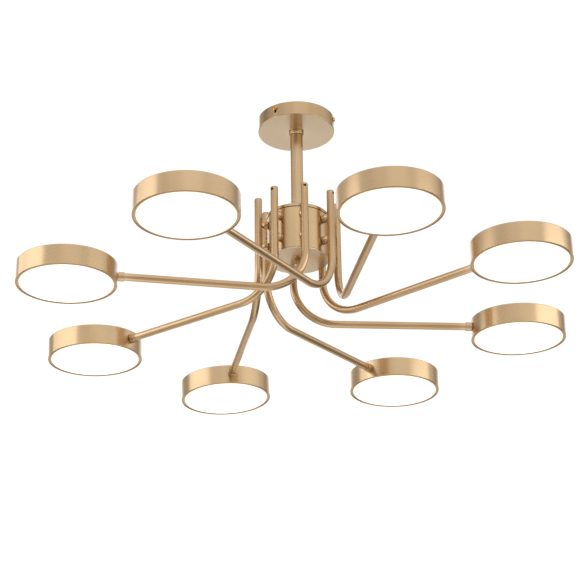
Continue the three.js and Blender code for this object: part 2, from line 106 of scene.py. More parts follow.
# Rod and collar
ROD_R = 0.010
THREAD_R = 0.0053
COLLAR_R = 0.0118
COLLAR_BEVEL_W = 0.0014
COLLAR_BEVEL_H = 0.0011
NECK_TOP = 0.0012
NECK_BOTTOM = 0.0022
NECK_DEPTH = 0.0008

# Hub, with its standoffs
HUB_CAP_R = 0.0485
HUB_SHELL_R = 0.0476
HUB_SHELL_WALL = 0.0015
STUD_R = 0.0039
STUD_HOLE_R = 0.0048
STUD_TOP_Z = -0.194
STUD_SPACING = 0.037
STANDOFF_R = 0.0065
STANDOFF_INNER_X = 0.0481
NUT_R = 0.007
NUT_T = 0.004
STUD_PAST_NUT = 0.003
CONE_W = 0.0026
CONE_START = 0.0024  # before the tube's inner side
CONE_END = 0.0012  # past the tube's inner side, to close on its curve
CAP_H = 0.005
PLATE_T = 0.002
STEP_SLACK = 0.0006
STEP_T = 0.002

# Finial
FINIAL_R = 0.0069
FINIAL_NECK_R = 0.0036
FINIAL_HOLE_R = 0.003
FLANGE_W = 0.0016
FLANGE_T = 0.0008

# Sides of the turned pieces, and steps of their rounded corners
FINE = 128
MEDIUM = 64
BROAD = 48
SMALL = 40
SCREW_SIDES = 36
HOLE_SIDES = 32
SHORT_SIDES = 24
CORNER_STEPS = 4
BEND_STEPS = 30
STRAIGHT_STEPS = 12
CAP_STEPS = 5
SLOT_STEPS = 10
BALL_STEPS = 22

# ---- Shader helpers ----

OBJECT_SHIFT = (3.1, 5.3, 0.0)  # metres that the most shifted object's pattern moves
FLAT_POINTINESS = 0.505
EDGE_POINTINESS = 0.56
FINE_DEPTH = 0.0001
COARSE_DEPTH = 0.0003
NO_STRETCH = (1, 1, 1)


class Tree:
    """A node tree with short calls for the nodes that this scene uses."""

    def __init__(self, owner):
        owner.use_nodes = True
        self.nodes = owner.node_tree.nodes
        self.links = owner.node_tree.links

    def node(self, kind, inputs=(), **settings):
        made = self.nodes.new(kind)
        for key, value in settings.items():
            setattr(made, key, value)
        for key, value in dict(inputs).items():
            self.set(made, key, value)
        return made

    def set(self, node, key, value):
        if isinstance(value, bpy.types.NodeSocket):
            self.links.new(value, node.inputs[key])
        else:
            node.inputs[key].default_value = value

    def spread(self, value, low, high, from_low=0.3, from_high=0.7):
        """Maps a value smoothly to a range, clamped at both ends. Noise mostly lies from 0.3 to 0.7."""
        values = {"Value": value, "From Min": from_low, "From Max": from_high, "To Min": low, "To Max": high}
        return self.node("ShaderNodeMapRange", values, interpolation_type="SMOOTHSTEP").outputs["Result"]

    def math(self, operation, first, second):
        return self.node("ShaderNodeMath", {0: first, 1: second}, operation=operation).outputs[0]


class Shader(Tree):
    """A material round its Principled shader."""

    def __init__(self, name):
        self.material = bpy.data.materials.new(name)
        super().__init__(self.material)
        self.surface = self.nodes["Principled BSDF"]

    def into(self, key, value):
        self.set(self.surface, key, value)

    def place(self, stretch=NO_STRETCH):
        """Object coordinates, shifted by a different amount on each object."""
        coordinates = self.node("ShaderNodeTexCoord").outputs["Object"]
        chance = self.node("ShaderNodeObjectInfo").outputs["Random"]
        shifted = self.node(
            "ShaderNodeVectorMath",
            {0: chance, 1: OBJECT_SHIFT, 2: coordinates},
            operation="MULTIPLY_ADD",
        ).outputs[0]
        return self.vector("MULTIPLY", shifted, stretch).outputs[0]

    def vector(self, operation, first, second=(0, 0, 0)):
        return self.node("ShaderNodeVectorMath", {0: first, 1: second}, operation=operation)

    def noise(self, place, scale, detail):
        values = {"Vector": place, "Scale": scale, "Detail": detail}
        return self.node("ShaderNodeTexNoise", values).outputs["Fac"]

    def cells(self, place, scale, output, **settings):
        values = {"Vector": place, "Scale": scale}
        return self.node("ShaderNodeTexVoronoi", values, **settings).outputs[output]

    def mix(self, share, first, second):
        made = self.node("ShaderNodeMix", {"Factor": share}, data_type="RGBA")
        for index, value in ((6, first), (7, second)):
            self.set(made, index, value)
        return made.outputs[2]

    def bump(self, *layers):
        """Stacks height layers of (height, strength, depth)."""
        normal = None
        for height, strength, depth in layers:
            values = {"Height": height, "Strength": strength, "Distance": depth}
            if normal is not None:
                values["Normal"] = normal
            normal = self.node("ShaderNodeBump", values).outputs["Normal"]
        self.into("Normal", normal)

    def edges(self, share):
        """0 on flat faces, rising to share on outer edges."""
        pointiness = self.node("ShaderNodeNewGeometry").outputs["Pointiness"]
        return self.math("MULTIPLY", self.spread(pointiness, 0, 1, FLAT_POINTINESS, EDGE_POINTINESS), share)


def rgb(r, g, b):
    """A colour from sRGB numbers of 0 to 255."""
    values = [v / 255 for v in (r, g, b)]
    return [v / 12.92 if v <= 0.04045 else ((v + 0.055) / 1.055) ** 2.4 for v in values] + [1]


LIGHT_GOLD = rgb(208, 175, 131)
DARK_GOLD = rgb(199, 166, 122)
WORN_GOLD = rgb(230, 202, 162)
EDGE_GOLD = rgb(235, 215, 190)


def gold(name, light, dark, worn, roughness, stretch=NO_STRETCH, grain_strength=0.006):
    """Satin gold under a clear coat: cloudy colour, fine flakes, soft orange peel and brighter edges."""
    s = Shader(name)
    place = s.place()
    grain = s.noise(s.place(stretch), 1800, 2)
    cloud = s.noise(place, 11, 1)
    flake = s.cells(place, 2600, "Color")
    base = s.mix(s.spread(cloud, 0, 1), dark, light)
    base = s.mix(s.spread(grain, 0, 0.06), base, dark)
    s.into("Base Color", s.mix(s.edges(0.5), base, worn))
    s.into("Metallic", 1.0)
    rough = s.math("ADD", s.spread(cloud, -0.01, 0.02), s.spread(grain, roughness - 0.01, roughness + 0.02))
    s.into("Roughness", s.math("SUBTRACT", rough, s.edges(0.06)))
    s.into("Specular Tint", EDGE_GOLD)
    s.into("Coat Weight", 1.0)
    s.into("Coat Roughness", 0.1)
    s.into("Coat IOR", 1.5)
    s.bump((grain, grain_strength, FINE_DEPTH), (flake, 0.003, FINE_DEPTH))
    return s.material


def steel(name, light, dark, roughness):
    """Zinc plated steel: spangle, fine scratches and duller patches."""
    s = Shader(name)
    place = s.place()
    spangle = s.cells(place, 260, "Distance")
    scratch = s.noise(s.place((1, 9, 1)), 700, 3)
    patch = s.noise(place, 30, 3)
    base = s.mix(s.spread(spangle, 0, 1, 0.1, 0.7), light, dark)
    s.into("Base Color", s.mix(s.edges(0.6), base, rgb(224, 226, 228)))
    s.into("Metallic", 1.0)
    fine = s.spread(scratch, roughness - 0.03, roughness + 0.05)
    s.into("Roughness", s.math("ADD", s.spread(patch, -0.05, 0.09), fine))
    s.bump((scratch, 0.12, FINE_DEPTH), (spangle, 0.06, FINE_DEPTH))
    return s.material


def near_black_steel(name):
    """Near black steel: fine crystals, an oily sheen in patches and bare edges."""
    s = Shader(name)
    place = s.place()
    crystals = s.noise(place, 1600, 3)
    patch = s.noise(place, 45, 3)
    base = s.mix(s.spread(patch, 0, 1), rgb(44, 42, 40), rgb(30, 29, 28))
    s.into("Base Color", s.mix(s.edges(0.4), base, rgb(120, 118, 116)))
    s.into("Metallic", 0.5)
    s.into("Roughness", s.spread(patch, 0.5, 0.68))
    s.bump((crystals, 0.2, FINE_DEPTH))
    return s.material


def brass(name):
    """Bright turned brass with fine lathe lines, patchy tarnish and brighter edges."""
    s = Shader(name)
    place = s.place()
    lines = s.noise(s.place((1, 1, 14)), 420, 2)
    tarnish = s.noise(place, 160, 3)
    base = s.mix(s.spread(tarnish, 0, 1), rgb(232, 170, 84), rgb(206, 134, 52))
    s.into("Base Color", s.mix(s.edges(1), base, rgb(250, 206, 134)))
    s.into("Metallic", 1.0)
    s.into("Roughness", s.spread(lines, 0.2, 0.3))
    s.bump((lines, 0.1, FINE_DEPTH))
    return s.material


def plastic(name, light, dark, roughness, scale):
    """Moulded plastic: faint mottling, spark-eroded grain and scuffed edges."""
    s = Shader(name)
    place = s.place()
    grain = s.noise(place, scale, 3)
    patch = s.noise(place, 40, 2)
    base = s.mix(s.spread(patch, 0, 1), light, dark)
    s.into("Base Color", s.mix(s.edges(0.3), base, rgb(250, 250, 248)))
    s.into("Roughness", s.spread(grain, roughness - 0.06, roughness + 0.08))
    s.bump((grain, 0.2, FINE_DEPTH))
    return s.material


def sheath(name):
    """Cable sheath: soft rubbery skin with a slight twist of the cores under it."""
    s = Shader(name)
    place = s.place()
    skin = s.noise(place, 1500, 2)
    rub = s.noise(place, 60, 3)
    s.into("Base Color", s.mix(s.spread(rub, 0, 1), rgb(222, 217, 204), rgb(196, 190, 176)))
    s.into("Roughness", s.spread(rub, 0.5, 0.68))
    s.bump((skin, 0.15, FINE_DEPTH), (s.noise(s.place((1, 1, 0.4)), 220, 1), 0.15, COARSE_DEPTH))
    return s.material


def circuit_board(name):
    """White solder mask on aluminium, with a faint weave and print."""
    s = Shader(name)
    place = s.place()
    mask = s.noise(place, 900, 2)
    copper = s.cells(place, 70, "Distance", distance="CHEBYCHEV")
    base = s.mix(s.spread(copper, 0, 0.5, 0.35, 0.5), rgb(228, 230, 230), rgb(204, 208, 206))
    s.into("Base Color", base)
    s.into("Metallic", s.spread(mask, 0.2, 0.4))
    s.into("Roughness", s.spread(mask, 0.35, 0.5))
    s.bump((copper, 0.1, FINE_DEPTH), (mask, 0.08, FINE_DEPTH))
    return s.material


def opal(name):
    """Lit opal acrylic: even white light that warms and dims a little at its rim, under a satin face."""
    s = Shader(name)
    place = s.place()
    haze = s.noise(place, 22, 2)
    grain = s.noise(place, 1300, 2)
    across = s.vector("MULTIPLY", s.node("ShaderNodeTexCoord").outputs["Object"], (1, 1, 0)).outputs[0]
    radius = s.vector("LENGTH", across).outputs["Value"]
    rim = s.spread(radius, 0, 1, LIP_R - RIM_GLOW_W, LIP_R + 0.001)
    s.into("Base Color", s.mix(s.spread(haze, 0, 1), rgb(250, 249, 246), rgb(244, 242, 238)))
    s.into("Roughness", s.spread(grain, 0.3, 0.42))
    s.into("Subsurface Weight", 0.15)
    s.into("Subsurface Scale", 0.01)
    s.into("Emission Color", s.mix(rim, rgb(255, 253, 249), rgb(255, 240, 205)))
    s.into("Emission Strength", s.math("ADD", s.spread(haze, 0.98, 1.02), s.spread(rim, 0, -0.16, 0, 1)))
    s.bump((grain, 0.05, FINE_DEPTH))
    return s.material


def bore(name):
    """The inside of a tube, seen through its vent hole: near black, painted shade of the hollow tube."""
    s = Shader(name)
    scale = s.noise(s.place(), 600, 3)
    s.into("Base Color", s.mix(s.spread(scale, 0, 1), rgb(12, 9, 7), rgb(6, 4, 3)))
    s.into("Metallic", 0.3)
    s.into("Roughness", s.spread(scale, 0.6, 0.85))
    s.bump((scale, 0.3, 2 * FINE_DEPTH))
    return s.material


DRAWN = (1, 1, 0.2)
BRUSHED = (1, 1, 0.05)
TURNED = (1, 1, 6)
BRUSHED_GRAIN = 0.03

satin_gold = gold("satin_gold", LIGHT_GOLD, DARK_GOLD, WORN_GOLD, 0.28)
# A darker copy of the satin gold for the tubes and the canopy's wall: painted shade, for the same finish
# looks darker there.
shade_darkened_gold = gold("shade_darkened_gold", rgb(198, 163, 118), rgb(190, 154, 109), WORN_GOLD, 0.24)
drawn_gold = gold("drawn_gold", LIGHT_GOLD, DARK_GOLD, WORN_GOLD, 0.27, DRAWN)
# A lighter copy of the satin gold for the hub's shell: painted light, over its real brushed grain.
brushed_painted_light_gold = gold(
    "brushed_painted_light_gold", rgb(220, 185, 136), rgb(203, 168, 120), WORN_GOLD, 0.3, BRUSHED, BRUSHED_GRAIN
)
# A paler copy of the satin gold for faces that look down: a painted reflection of the bright floor.
painted_reflection_gold = gold("painted_reflection_gold", rgb(219, 197, 164), rgb(210, 188, 155), WORN_GOLD, 0.3)
# A lighter copy of the satin gold for the collar: a painted highlight, over its real turned lines and
# smoother polish.
turned_painted_light_gold = gold("turned_painted_light_gold", rgb(228, 199, 154), rgb(216, 186, 140), rgb(246, 226, 192), 0.17, TURNED)
bright_brass = brass("bright_brass")
zinc = steel("zinc_plate", rgb(186, 189, 192), rgb(156, 160, 164), 0.36)
black_steel = near_black_steel("black_steel")
white_plastic = plastic("white_plastic", rgb(234, 232, 226), rgb(222, 219, 212), 0.5, 1400)
wire_sheath = sheath("wire_sheath")
board = circuit_board("board_aluminium")
lit_opal = opal("lit_opal")
bore_painted_shade = bore("bore_painted_shade")

# ---- Mesh helpers ----

ON_AXIS = 1e-7  # metres from the axis, within which a ring is one point
SHARP_DEGREES = 28
SHARP_DOME_DEGREES = 40


def rounded(corners):
    """An outline of (r, z) corners as points. A third number rounds that corner with that radius."""
    points = []
    for index, corner in enumerate(corners):
        here = Vector(corner[:2])
        if len(corner) == 2:
            points.append(here)
            continue
        radius = corner[2]
        before = (Vector(corners[index - 1][:2]) - here).normalized()
        after = (Vector(corners[(index + 1) % len(corners)][:2]) - here).normalized()
        half = before.angle(after) / 2
        centre = here + (before + after).normalized() * radius / math.sin(half)
        start = here + before * radius / math.tan(half) - centre
        end = here + after * radius / math.tan(half) - centre
        turn = math.atan2(start.cross(end), start.dot(end))
        for step in range(CORNER_STEPS + 1):
            angle = turn * step / CORNER_STEPS
            x = start.x * math.cos(angle) - start.y * math.sin(angle)
            y = start.x * math.sin(angle) + start.y * math.cos(angle)
            points.append(centre + Vector((x, y)))
    return points


def turned(points, sides, axis=Matrix.Identity(4)):
    """Turns an outline of (r, z) points round +Z. It is a loop, or it starts and ends on the axis."""
    bm = bmesh.new()
    rings = []
    for r, z in points:
        if r < ON_AXIS:
            rings.append([bm.verts.new((0, 0, z))])
            continue
        angles = [2 * math.pi * i / sides for i in range(sides)]
        rings.append([bm.verts.new((r * math.cos(a), r * math.sin(a), z)) for a in angles])
    is_open = len(rings[0]) == 1 and len(rings[-1]) == 1
    pairs = list(zip(rings, rings[1:])) + ([] if is_open else [(rings[-1], rings[0])])
    for low, high in pairs:
        for i in range(sides):
            j = (i + 1) % sides
            corners = [low[i % len(low)], low[j % len(low)], high[j % len(high)], high[i % len(high)]]
            bm.faces.new(list(dict.fromkeys(corners)))
    return mesh_of(bm, axis)


def mesh_of(bm, placed=Matrix.Identity(4)):
    bmesh.ops.recalc_face_normals(bm, faces=bm.faces[:])
    bmesh.ops.transform(bm, matrix=placed, verts=bm.verts[:])
    mesh = bpy.data.meshes.new("mesh")
    bm.to_mesh(mesh)
    bm.free()
    return mesh


def piped(points, side, radius, sides, cap_rings=()):
    """A solid tube along points in a plane. side is the unit normal of that plane.
    cap_rings are (radius, advance) beyond the first point, for a shaped end."""
    bm = bmesh.new()
    rings = []
    start_direction = (points[0] - points[1]).normalized()
    stations = [
        (points[0] + start_direction * advance, -start_direction, r) for r, advance in reversed(cap_rings)
    ]
    for index, point in enumerate(points):
        before = points[max(index - 1, 0)]
        after = points[min(index + 1, len(points) - 1)]
        stations.append((point, (after - before).normalized(), radius))
    for centre, direction, r in stations:
        across = direction.cross(side)
        ring = []
        for i in range(sides):
            angle = 2 * math.pi * i / sides
            ring.append(bm.verts.new(centre + (side * math.cos(angle) + across * math.sin(angle)) * r))
        rings.append(ring)
    for low, high in zip(rings, rings[1:]):
        for i in range(sides):
            j = (i + 1) % sides
            bm.faces.new((low[i], low[j], high[j], high[i]))
    bm.faces.new(rings[0])
    bm.faces.new(rings[-1])
    return mesh_of(bm)


def joined(*meshes):
    bm = bmesh.new()
    for mesh in meshes:
        bm.from_mesh(mesh)
    return mesh_of(bm)


def cut(mesh, tools):
    """mesh with the tools cut out of it."""
    body = bpy.data.objects.new("body", mesh)
    tool = bpy.data.objects.new("tool", joined(*tools))
    for o in (body, tool):
        bpy.context.scene.collection.objects.link(o)
    boolean = body.modifiers.new("cut", "BOOLEAN")
    boolean.object = tool
    boolean.solver = "EXACT"
    result = bpy.data.meshes.new_from_object(body.evaluated_get(bpy.context.evaluated_depsgraph_get()))
    bpy.data.objects.remove(body)
    bpy.data.objects.remove(tool)
    return result


def finished(mesh, sharp_degrees=SHARP_DEGREES):
    """Smooth shading with crisp corners, and flat faces that stay flat next to small bevels."""
    mesh = mesh.copy()
    mesh.shade_smooth()
    mesh.set_sharp_from_angle(angle=math.radians(sharp_degrees))
    holder = bpy.data.objects.new("holder", mesh)
    bpy.context.scene.collection.objects.link(holder)
    holder.modifiers.new("normals", "WEIGHTED_NORMAL").keep_sharp = True
    result = bpy.data.meshes.new_from_object(holder.evaluated_get(bpy.context.evaluated_depsgraph_get()))
    bpy.data.objects.remove(holder)
    return result


def piece(name, mesh, materials, body, nodes, placed=Matrix.Identity(4)):
    mesh = mesh.copy()
    mesh.name = name
    mesh.materials.clear()
    for material in materials:
        mesh.materials.append(material)
    made = bpy.data.objects.new(name, mesh)
    bpy.context.scene.collection.objects.link(made)
    made.matrix_world = placed
    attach(made, body)
    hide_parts(*nodes)
    return made


def drum(radius, low, high, sides=SHORT_SIDES, placed=Matrix.Identity(4)):
    """A plain cylinder, only used to cut with or to be cut."""
    return turned([(0, low), (radius, low), (radius, high), (0, high)], sides, placed)


ALONG_X = Matrix.Rotation(math.pi / 2, 4, "Y")


def about_z(angle):
    return Matrix.Rotation(angle, 4, "Z")


# ---- Where the arms run: each in a frame turned so that its upright tube stands on +X ----

DOWN = Vector((0, 0, -1))
OUT = Vector((0, -1, 0))
ACROSS = Vector((1, 0, 0))
tube_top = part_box("arm_1")[1].z
ferrule_start = WALL_REACH - WALL_GAP - FERRULE_L


class Arm:
    """Where one arm runs, from the joint at its end."""

    def __init__(self, joint):
        x, y, z = joint["axis"]
        self.axis = Vector(joint["axis"])
        self.wall_point = Vector(joint["pos_m"])
        self.turn = about_z(math.atan2(x, -y))
        climb = math.asin(z)
        self.bend_turn = math.pi / 2 + climb
        self.along = Vector((0, -math.cos(climb), math.sin(climb)))
        self.to_arm = Matrix.Rotation(math.pi / 2 - climb, 4, "X")
        bend_end_z = self.wall_point.z - WALL_REACH * self.along.z
        self.bend_start = Vector((ARM_CIRCLE_R, 0, bend_end_z + BEND_R * math.sin(self.bend_turn)))
        self.bend_end = self.at_bend(self.bend_turn)

    def at_bend(self, angle):
        return self.bend_start + DOWN * BEND_R * math.sin(angle) + OUT * BEND_R * (1 - math.cos(angle))


joints = {joint["name"]: joint for joint in frame["joints"]}
arms = [Arm(joints[f"head_swivel_{number}"]) for number in range(1, ARM_COUNT + 1)]

# ---- Arms ----


def arm_mesh(arm):
    """The tube with its rounded top and its vent hole."""
    shoulder = Vector((ARM_CIRCLE_R, 0, tube_top - TUBE_EDGE_R))
    points = [shoulder.lerp(arm.bend_start, i / STRAIGHT_STEPS) for i in range(STRAIGHT_STEPS)]
    points += [arm.at_bend(arm.bend_turn * i / BEND_STEPS) for i in range(BEND_STEPS + 1)]
    tube_end = arm.bend_end + arm.along * (ferrule_start + SOCKET_L - GAP)
    points += [arm.bend_end.lerp(tube_end, i / STRAIGHT_STEPS) for i in range(1, STRAIGHT_STEPS + 1)]
    cap = []
    for i in range(1, CAP_STEPS + 1):
        angle = math.pi / 2 * i / CAP_STEPS
        cap.append((TUBE_R - TUBE_EDGE_R * (1 - math.cos(angle)), TUBE_EDGE_R * math.sin(angle)))
    tube = piped(points, ACROSS, TUBE_R, SMALL, cap)
    vent_z = tube_top - VENT_DROP
    vent = drum(VENT_R, ARM_CIRCLE_R - TUBE_BORE_R, ARM_CIRCLE_R + 2 * TUBE_R, SHORT_SIDES, ALONG_X)
    vent.transform(Matrix.Translation((0, 0, vent_z)))
    tube = finished(cut(tube, [vent]), SHARP_DOME_DEGREES)
    for face in tube.polygons:
        middle = face.center
        off_axis = math.hypot(middle.y, middle.z - vent_z)
        is_inside = middle.x < ARM_CIRCLE_R + 0.9 * TUBE_R and off_axis < VENT_R * 1.01
        # The faces inside the vent hole take a near black, painted shade of the hollow tube.
        face.material_index = 1 if is_inside else 0  # the bore
    return tube


def standoff_mesh():
    """Spacer with a coned end on a stud, and the nut that holds it inside the hub."""
    tube_face = ARM_CIRCLE_R - TUBE_R
    nut_far = HUB_SHELL_R - HUB_SHELL_WALL - NUT_PLAY
    stud_end = nut_far - NUT_T - STUD_PAST_NUT
    outline = rounded(
        [
            (0, stud_end),
            (STUD_R, stud_end, 0.0006),
            (STUD_R, STANDOFF_INNER_X),
            (STANDOFF_R, STANDOFF_INNER_X, 0.0006),
            (STANDOFF_R, tube_face - CONE_START, 0.0009),
            (STANDOFF_R - CONE_W, tube_face + CONE_END),
            (0, tube_face + CONE_END),
        ]
    )
    nut = nut_mesh(STUD_R + GAP, NUT_R, nut_far - NUT_T, nut_far, ALONG_X)
    return finished(turned(outline, SMALL, ALONG_X)), finished(nut)


def nut_mesh(hole, radius, low, high, placed):
    """A hexagon nut with its corners turned off at both faces."""
    face_r = radius * math.cos(math.pi / 6) * 0.96
    chamfer = 0.0009
    past = 0.001
    cutter = turned(
        [
            (face_r, low - past),
            (face_r, low),
            (radius * 1.01, low + chamfer),
            (radius * 1.01, high - chamfer),
            (face_r, high),
            (face_r, high + past),
            (radius * 1.5, high + past),
            (radius * 1.5, low - past),
        ],
        MEDIUM,
    )
    thread_hole = drum(hole, low - 2 * past, high + 2 * past, HOLE_SIDES)
    nut = cut(drum(radius, low, high, 6), [cutter, thread_hole])
    nut.transform(placed)
    return nut


spacer, spacer_nut = standoff_mesh()
stud_heights = {"upper": STUD_TOP_Z, "lower": STUD_TOP_Z - STUD_SPACING}


def swivel_mesh():
    """Ferrule, hollow spigot through the wall of the head, and retaining nut, along +Z."""
    wall_in = FERRULE_L + WALL_GAP + SHEET + NUT_PLAY
    outline = rounded(
        [
            (LEAD_HOLE_R, SOCKET_L),
            (TUBE_R + SOCKET_SLACK, SOCKET_L),
            (TUBE_R + SOCKET_SLACK, 0, 0.0003),
            (FERRULE_R, 0, 0.0006),
            (FERRULE_R, FERRULE_L, 0.0005),
            (SPIGOT_R, FERRULE_L),
            (SPIGOT_R, wall_in),
            (RETAINER_R, wall_in, 0.0006),
            (RETAINER_R, wall_in + RETAINER_T, 0.0006),
            (LEAD_HOLE_R, wall_in + RETAINER_T, 0.0005),
        ]
    )
    return finished(turned(outline, BROAD))


ferrule_mesh = swivel_mesh()

# ---- Lamp heads, about their own centres, with +Y towards the arm ----

head_half = HEAD_H / 2


def housing_mesh():
    """Drum with a softened upper edge, and a groove between its wall and the lip round the diffuser."""
    top = head_half
    groove_outer = HEAD_R - RIM_T
    groove_inner = groove_outer - GROOVE_W
    outline = rounded(
        [
            (0, top),
            (HEAD_R * 0.4, top),
            (HEAD_R * 0.8, top),
            (HEAD_R, top, 0.0013),
            (HEAD_R, -top, 0.0005),
            (groove_outer, -top, 0.0002),
            (groove_outer, GROOVE_DEPTH - top, 0.0002),
            (groove_inner, GROOVE_DEPTH - top, 0.0002),
            (groove_inner, LIP_SINK - top, 0.0004),
            (LIP_R, LIP_SINK - top, 0.0004),
            (LIP_R, LIP_H - top),
            (HEAD_R - SHEET, LIP_H - top),
            (HEAD_R - SHEET, top - SHEET),
            (0, top - SHEET),
        ]
    )
    shell = turned(outline, FINE)
    wall_hole = Matrix.Translation((0, HEAD_R, HEAD_DROP)) @ arms[0].to_arm
    reach = 0.012
    return finished(cut(shell, [drum(SPIGOT_R + GAP, -reach, reach, HOLE_SIDES, wall_hole)]))


def diffuser_mesh():
    """Flush opal disc with a skirt that sits inside the rim."""
    low = -head_half
    outer = LIP_R - GAP
    outline = rounded(
        [
            (0, low),
            (outer * 0.35, low),
            (outer * 0.7, low),
            (outer, low, 0.0008),
            (outer, low + SKIRT_H, 0.0004),
            (outer - SKIRT_T, low + SKIRT_H, 0.0004),
            (outer - SKIRT_T, low + DIFFUSER_T),
            (0, low + DIFFUSER_T),
        ]
    )
    return finished(turned(outline, FINE))


disc_mesh = diffuser_mesh()
drum_mesh = housing_mesh()
for number, (arm, head_turn) in enumerate(zip(arms, HEAD_TURNS), start=1):
    node = f"arm_{number}"
    # The tube takes the darker gold, which is painted shade, and the inside of its vent hole a near black,
    # which is painted shade of the hollow tube.
    piece(f"tube_{number}", arm_mesh(arm), [shade_darkened_gold, bore_painted_shade], "fixture", [node], arm.turn)
    for level, z in stud_heights.items():
        spot = arm.turn @ Matrix.Translation((0, 0, z))
        piece(f"standoff_{number}_{level}", spacer, [satin_gold], "fixture", [node], spot)
        piece(f"stud_nut_{number}_{level}", spacer_nut, [zinc], "fixture", [node], spot)
    ferrule = arm.turn @ Matrix.Translation(arm.bend_end + arm.along * ferrule_start) @ arm.to_arm
    node = f"swivel_{number}"
    piece(f"ferrule_{number}", ferrule_mesh, [satin_gold], "fixture", [node], ferrule)

    body = f"head_{number}"
    swung = Matrix.Translation(arm.wall_point) @ Matrix.Rotation(math.radians(head_turn), 4, arm.axis)
    centre = swung @ arm.turn @ Matrix.Translation((0, -HEAD_R, -HEAD_DROP))
    piece(f"drum_{number}", drum_mesh, [satin_gold], body, [f"head_housing_{number}"], centre)
    piece(f"opal_disc_{number}", disc_mesh, [lit_opal], body, [f"diffuser_{number}"], centre)

# ---- Canopy and its side screws ----

canopy_low, canopy_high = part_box("canopy")
screw_z = canopy_high.z - SCREW_DROP
screw_angles = []
for number in range(1, 4):
    low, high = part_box(f"canopy_screw_{number}")
    middle = (low + high) / 2
    screw_angles.append(math.atan2(middle.y, middle.x))


def slot_tool(angle):
    """A keyhole slot: a round-ended slot under the screw."""
    bm = bmesh.new()
    half = SLOT_W / 2
    top = screw_z
    bottom = screw_z + SLOT_W - SLOT_H
    outline = []
    for centre_z, first in ((top, 0), (bottom, math.pi)):
        for i in range(SLOT_STEPS + 1):
            a = first + math.pi * i / SLOT_STEPS
            outline.append((half * math.cos(a), centre_z + half * math.sin(a)))
    near = [bm.verts.new((CANOPY_R - SLOT_REACH, y, z)) for y, z in outline]
    far = [bm.verts.new((CANOPY_R + SLOT_REACH, y, z)) for y, z in outline]
    bm.faces.new(near)
    bm.faces.new(far)
    for i in range(len(near)):
        j = (i + 1) % len(near)
        bm.faces.new((near[i], near[j], far[j], far[i]))
    return mesh_of(bm, about_z(angle))


canopy_outline = rounded(
    [
        (THREAD_R, canopy_low.z),
        (CANOPY_R * 0.35, canopy_low.z),
        (CANOPY_R * 0.7, canopy_low.z),
        (CANOPY_R, canopy_low.z, 0.0012),
        (CANOPY_R, canopy_high.z, 0.0004),
        (CANOPY_R - CANOPY_WALL, canopy_high.z, 0.0004),
        (CANOPY_R - CANOPY_WALL, canopy_low.z + CANOPY_WALL, 0.001),
        (THREAD_R, canopy_low.z + CANOPY_WALL),
    ]
)
canopy_cup = cut(turned(canopy_outline, FINE), [slot_tool(a) for a in screw_angles])
# The cup's wall takes the darker gold, which is painted shade.
canopy = piece(
    "canopy_cup", finished(canopy_cup), [shade_darkened_gold, painted_reflection_gold], "fixture", ["canopy"]
)
# The flat underside takes the paler gold, a painted reflection of the bright floor.
for face in canopy.data.polygons:
    if face.normal.z < -0.98:
        face.material_index = 1  # the flat underside


def side_screw_mesh():
    """Side screw: a domed, slotted head on a plain shank."""
    seat = CANOPY_R + GAP
    tip = BRACKET_R + SCREW_TIP
    outline = rounded(
        [
            (0, tip),
            (SCREW_R, tip, 0.0005),
            (SCREW_R, seat),
            (SCREW_HEAD_R, seat, 0.0004),
            (SCREW_HEAD_R, seat + SCREW_HEAD_H * 0.55, 0.0007),
            (SCREW_HEAD_R * 0.62, seat + SCREW_HEAD_H, 0.0006),
            (0, seat + SCREW_HEAD_H),
        ]
    )
    screw = turned(outline, SCREW_SIDES, ALONG_X)
    bm = bmesh.new()
    bmesh.ops.create_cube(bm, size=1)
    in_head = Matrix.Translation((seat + SCREW_HEAD_H, 0, 0))
    slot = mesh_of(bm, in_head @ Matrix.Diagonal((*SCREWDRIVER_SLOT, 1)))
    return finished(cut(screw, [slot]))


screw_mesh = side_screw_mesh()
for number, angle in enumerate(screw_angles, start=1):
    spot = about_z(angle) @ Matrix.Translation((0, 0, screw_z))
    node = f"canopy_screw_{number}"
    piece(f"side_screw_{number}", screw_mesh, [bright_brass], "fixture", [node], spot)

# ---- Rod and collar ----

collar_low, collar_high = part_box("rod_collar")
neck_r = COLLAR_R - NECK_DEPTH
collar_outline = rounded(
    [
        (THREAD_R, collar_low.z),
        (COLLAR_R - COLLAR_BEVEL_W, collar_low.z, 0.0003),
        (COLLAR_R, collar_low.z + COLLAR_BEVEL_H, 0.0005),
        (COLLAR_R, collar_high.z - NECK_BOTTOM, 0.0003),
        (neck_r, collar_high.z - NECK_BOTTOM, 0.0002),
        (neck_r, collar_high.z - NECK_TOP, 0.0002),
        (COLLAR_R, collar_high.z - NECK_TOP, 0.0003),
        (COLLAR_R, collar_high.z, 0.0003),
        (THREAD_R, collar_high.z),
    ]
)
collar = finished(turned(collar_outline, MEDIUM))
# The collar takes the lighter gold, a painted highlight.
piece("collar", collar, [turned_painted_light_gold], "fixture", ["rod_collar"])

rod_low, rod_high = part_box("down_rod")
rod_outline = rounded(
    [
        (THREAD_R, rod_low.z),
        (ROD_R, rod_low.z, 0.0005),
        (ROD_R, rod_low.z * 0.66 + rod_high.z * 0.34),
        (ROD_R, rod_low.z * 0.33 + rod_high.z * 0.67),
        (ROD_R, rod_high.z, 0.0005),
        (THREAD_R, rod_high.z),
    ]
)
piece("rod", finished(turned(rod_outline, MEDIUM)), [drawn_gold], "fixture", ["down_rod"])

# ---- Hub ----

shell_low, shell_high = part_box("hub_shell")
cap_low, cap_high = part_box("hub_cap")
plate_low, plate_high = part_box("hub_bottom_plate")
shell_inner = HUB_SHELL_R - HUB_SHELL_WALL
step_r = shell_inner - STEP_SLACK

